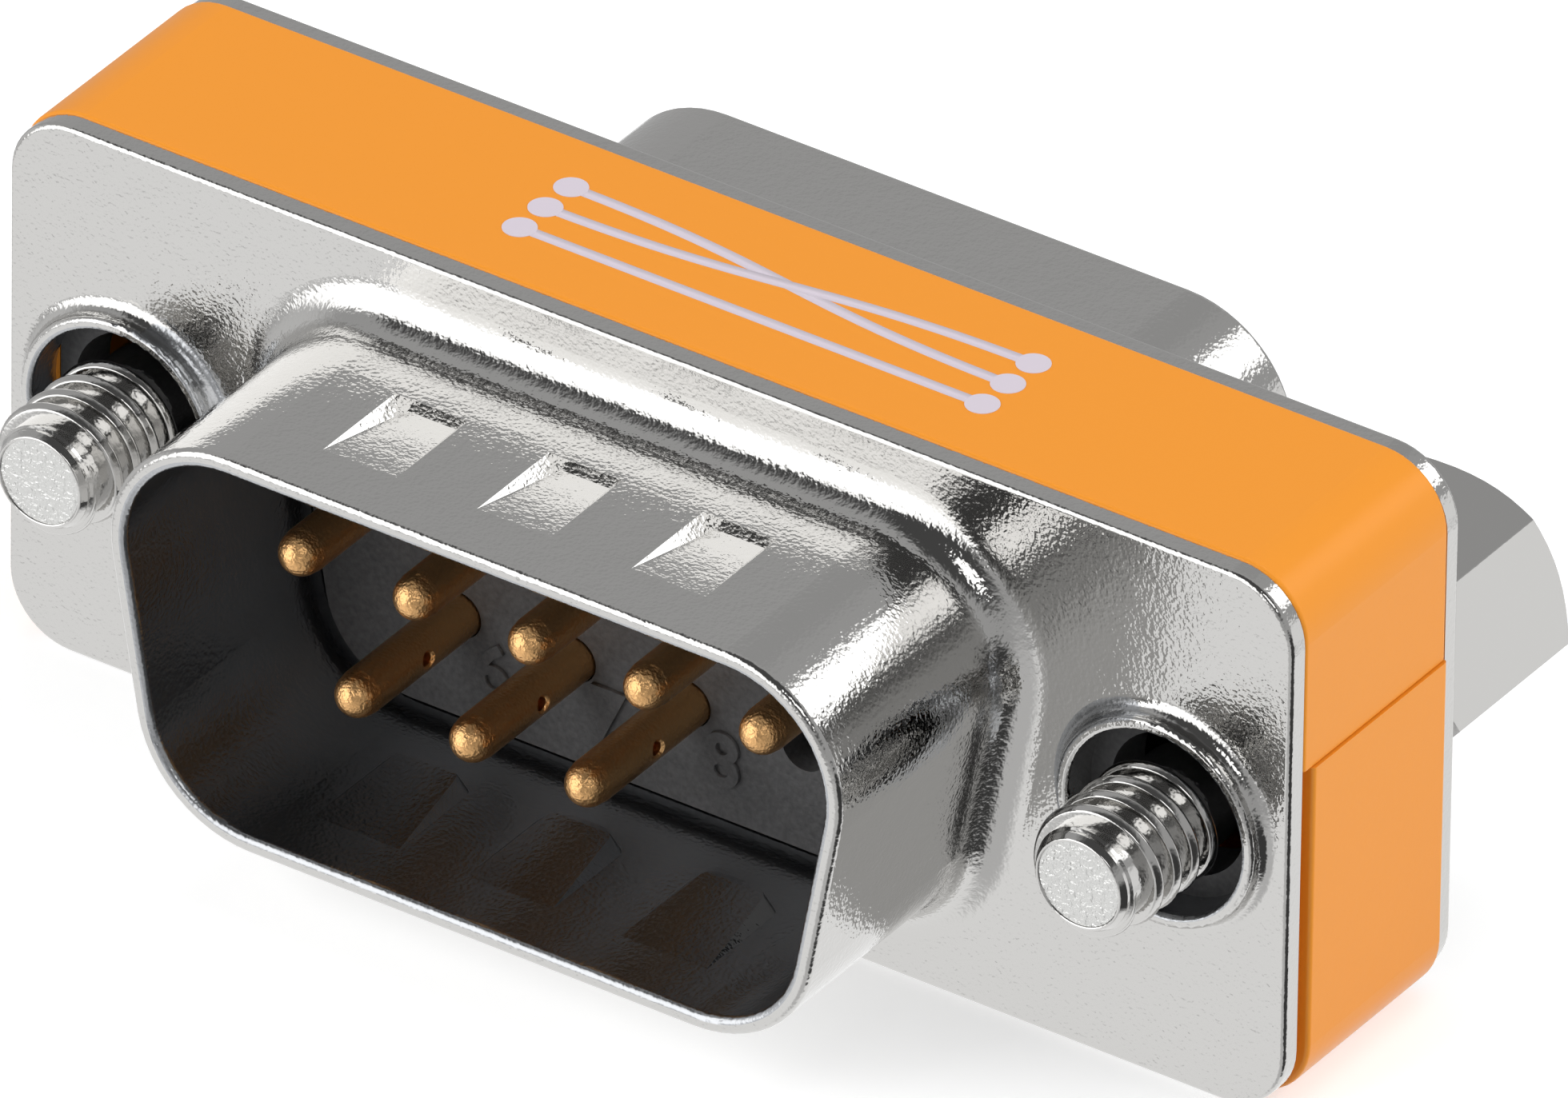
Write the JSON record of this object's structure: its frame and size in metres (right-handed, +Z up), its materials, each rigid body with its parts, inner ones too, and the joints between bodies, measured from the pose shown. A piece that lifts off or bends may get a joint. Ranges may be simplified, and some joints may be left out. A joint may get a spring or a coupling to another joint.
{
  "type": "null modem adapter",
  "caption": "Short null modem adapter: a D-sub plug and socket back to back round a plastic band, with captive jackscrews.",
  "frame": {"origin": "middle of the plug flange's front face, on the axis of the D shells", "axes": "-Y leaves through the plug, +Y through the socket; +X runs along the adapter to the right seen from the plug; +Z up, with the wide side of both D shells up"},
  "size_m": [0.031, 0.017, 0.0126],
  "materials": {
    "nickel_shell": "nickel-plated drawn steel, bright with a fine grain",
    "nickel_screw": "nickel-plated turned steel",
    "spring_steel": "plain spring steel",
    "gold_contact": "gold-flashed brass",
    "black_pbt": "glass-filled black plastic, slightly grained",
    "orange_abs": "moulded orange ABS, satin",
    "board_laminate": "glass-epoxy board"
  },
  "bodies": {
    "housing": {"male_shell": "nickel_shell", "male_insulator": "black_pbt", "pin_1": "gold_contact", "pin_2": "gold_contact", "pin_3": "gold_contact", "pin_4": "gold_contact", "pin_5": "gold_contact", "pin_6": "gold_contact", "pin_7": "gold_contact", "pin_8": "gold_contact", "crossover_board": "board_laminate", "socket_1": "gold_contact", "socket_2": "gold_contact", "socket_3": "gold_contact", "socket_4": "gold_contact", "socket_5": "gold_contact", "socket_6": "gold_contact", "socket_7": "gold_contact", "socket_8": "gold_contact", "female_insulator": "black_pbt", "female_shell": "nickel_shell", "band_upper": "orange_abs", "band_lower": "orange_abs"},
    "left_screw": {"jackscrew_left": "nickel_screw", "retaining_ring_left": "spring_steel"},
    "right_screw": {"jackscrew_right": "nickel_screw", "retaining_ring_right": "spring_steel"}
  },
  "joints": [
    {"name": "left_screw_turn", "type": "hinge", "parent": "housing", "child": "left_screw", "pos_m": [-0.01249, 0.00595, 0], "axis": [0, 1, 0], "continuous": true},
    {"name": "right_screw_turn", "type": "hinge", "parent": "housing", "child": "right_screw", "pos_m": [0.01249, 0.00595, 0], "axis": [0, 1, 0], "continuous": true}
  ]
}
